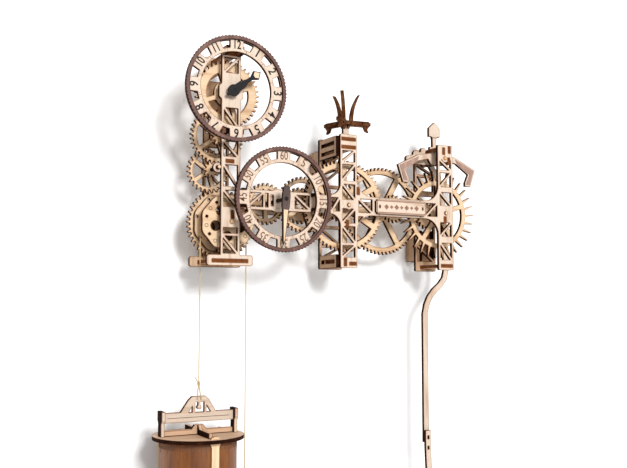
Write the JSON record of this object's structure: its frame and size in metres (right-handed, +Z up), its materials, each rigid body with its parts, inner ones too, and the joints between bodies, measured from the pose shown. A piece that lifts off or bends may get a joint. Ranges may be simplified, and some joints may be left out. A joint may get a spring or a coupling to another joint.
{
  "type": "mechanical pendulum wall clock kit",
  "caption": "Wall-hung wooden clock of laser-cut plywood with lattice towers, two ring dials, wheel train, escapement, pendulum and a cord-hung drum weight.",
  "frame": {"origin": "centre of the hanging hole of the middle wall bracket, in the plane of the wall", "axes": "+Z up, +Y into the wall, +X to the right seen from the front; the clock faces -Y"},
  "size_m": [0.3954, 0.0996, 0.6625],
  "materials": {
    "birch_ply": "raw laser-cut birch plywood, burnt edges",
    "stained_ply": "brown-mauve stained plywood",
    "brown_ply": "caramel brown bent plywood and edge grain",
    "dark_ply": "black stained plywood hands",
    "dowel": "turned beech dowel",
    "cord": "twisted natural cord"
  },
  "bodies": {
    "cage": {"hour_tower_front": "birch_ply", "hour_tower_back": "birch_ply", "hour_tower_shelves": "brown_ply", "middle_tower_front": "birch_ply", "middle_tower_back": "birch_ply", "middle_tower_shelves": "brown_ply", "middle_tower_webs": "brown_ply", "right_tower_front": "birch_ply", "right_tower_back": "birch_ply", "right_tower_shelves": "brown_ply", "minute_beam": "birch_ply", "minute_beam_back": "birch_ply", "name_beam": "birch_ply", "name_beam_back": "birch_ply", "name_plate": "birch_ply", "link_bridge": "birch_ply", "hour_dial_face": "birch_ply", "hour_dial_rim": "stained_ply", "hour_dial_brackets": "birch_ply", "minute_dial_face": "birch_ply", "minute_dial_rim": "stained_ply", "minute_dial_brackets": "birch_ply", "wall_bracket_left": "birch_ply", "wall_bracket_middle": "birch_ply", "wall_bracket_right": "birch_ply", "finial": "birch_ply", "rotor_post": "birch_ply"},
    "great": {"great_wheel": "birch_ply", "great_arbor": "dowel"},
    "drum": {"drum_flanges": "birch_ply", "drum_core": "birch_ply"},
    "idler": {"idler_wheel": "birch_ply", "idler_pinion": "birch_ply"},
    "transfer": {"transfer_wheel": "birch_ply", "transfer_pinion": "birch_ply"},
    "hour": {"hour_wheel": "birch_ply", "hour_arbor": "dowel", "hour_hand": "dark_ply"},
    "minute": {"minute_wheel": "birch_ply", "minute_arbor": "dowel", "minute_hand": "dark_ply"},
    "link": {"link_gear": "birch_ply", "link_wheel": "birch_ply"},
    "centre": {"centre_wheel": "birch_ply", "centre_pinion": "birch_ply"},
    "third": {"third_wheel": "birch_ply", "third_pinion": "birch_ply"},
    "escape": {"escape_wheel": "birch_ply", "escape_pinion": "birch_ply"},
    "pendulum": {"anchor": "birch_ply", "pallet_arbor": "dowel", "pendulum_rod": "birch_ply", "pendulum_bob": "birch_ply"},
    "weight": {"weight_bail": "birch_ply", "weight_cap": "birch_ply", "weight_canister": "brown_ply", "weight_cord": "cord"},
    "counter": {"counterweight": "dowel", "counter_cord": "cord"},
    "rotor": {"rotor": "brown_ply"}
  },
  "joints": [
    {"name": "third_spin", "type": "hinge", "parent": "cage", "child": "third", "pos_m": [0.065, -0.0512, -0.056], "axis": [0, 1, 0], "continuous": true},
    {"name": "centre_spin", "type": "hinge", "parent": "cage", "child": "centre", "pos_m": [0, -0.0512, -0.056], "axis": [0, 1, 0], "continuous": true},
    {"name": "link_spin", "type": "hinge", "parent": "cage", "child": "link", "pos_m": [-0.045, -0.0512, -0.056], "axis": [0, 1, 0], "continuous": true},
    {"name": "minute_spin", "type": "hinge", "parent": "cage", "child": "minute", "pos_m": [-0.08583, -0.0406, -0.056], "axis": [0, 1, 0], "continuous": true},
    {"name": "great_spin", "type": "hinge", "parent": "cage", "child": "great", "pos_m": [-0.138, -0.0406, -0.08019], "axis": [0, 1, 0], "continuous": true},
    {"name": "idler_spin", "type": "hinge", "parent": "cage", "child": "idler", "pos_m": [-0.1525, -0.0406, -0.02455], "axis": [0, 1, 0], "continuous": true},
    {"name": "transfer_spin", "type": "hinge", "parent": "cage", "child": "transfer", "pos_m": [-0.1467, -0.0512, 0.01094], "axis": [0, 1, 0], "continuous": true},
    {"name": "hour_spin", "type": "hinge", "parent": "cage", "child": "hour", "pos_m": [-0.1395, -0.0618, 0.055], "axis": [0, 1, 0], "continuous": true},
    {"name": "escape_spin", "type": "hinge", "parent": "cage", "child": "escape", "pos_m": [0.12993, -0.0565, -0.059], "axis": [0, 1, 0], "continuous": true},
    {"name": "pendulum_swing", "type": "hinge", "parent": "cage", "child": "pendulum", "pos_m": [0.12993, -0.0565, 0.006], "axis": [0, 1, 0], "range_deg": [-2.5, 2.5]},
    {"name": "rotor_spin", "type": "hinge", "parent": "cage", "child": "rotor", "pos_m": [0, -0.0681, 0.034], "axis": [0, 0, 1], "continuous": true},
    {"name": "weight_slide", "type": "slide", "parent": "cage", "child": "weight", "axis": [0, 0, 1], "range_m": [0, 0.12], "deforming": ["weight_cord"]},
    {"name": "drum_wind", "type": "hinge", "parent": "cage", "child": "drum", "pos_m": [-0.138, -0.0512, -0.08019], "axis": [0, 1, 0], "range_deg": [0, 270]},
    {"name": "counterweight_slide", "type": "slide", "parent": "cage", "child": "counter", "axis": [0, 0, 1], "range_m": [-0.12, 0], "deforming": ["counter_cord"]}
  ],
  "couplings": [
    {"joint": "centre_spin", "follows": "third_spin", "ratio": -0.3},
    {"joint": "link_spin", "follows": "third_spin", "ratio": 0.15},
    {"joint": "minute_spin", "follows": "third_spin", "ratio": -0.13269},
    {"joint": "great_spin", "follows": "third_spin", "ratio": 0.080233},
    {"joint": "idler_spin", "follows": "third_spin", "ratio": -0.13269},
    {"joint": "transfer_spin", "follows": "third_spin", "ratio": 0.036859},
    {"joint": "hour_spin", "follows": "third_spin", "ratio": -0.011058},
    {"joint": "escape_spin", "follows": "third_spin", "ratio": -3.3333},
    {"joint": "drum_wind", "follows": "weight_slide", "rad_per_m": 39.062},
    {"joint": "counterweight_slide", "follows": "weight_slide", "ratio": -1}
  ]
}
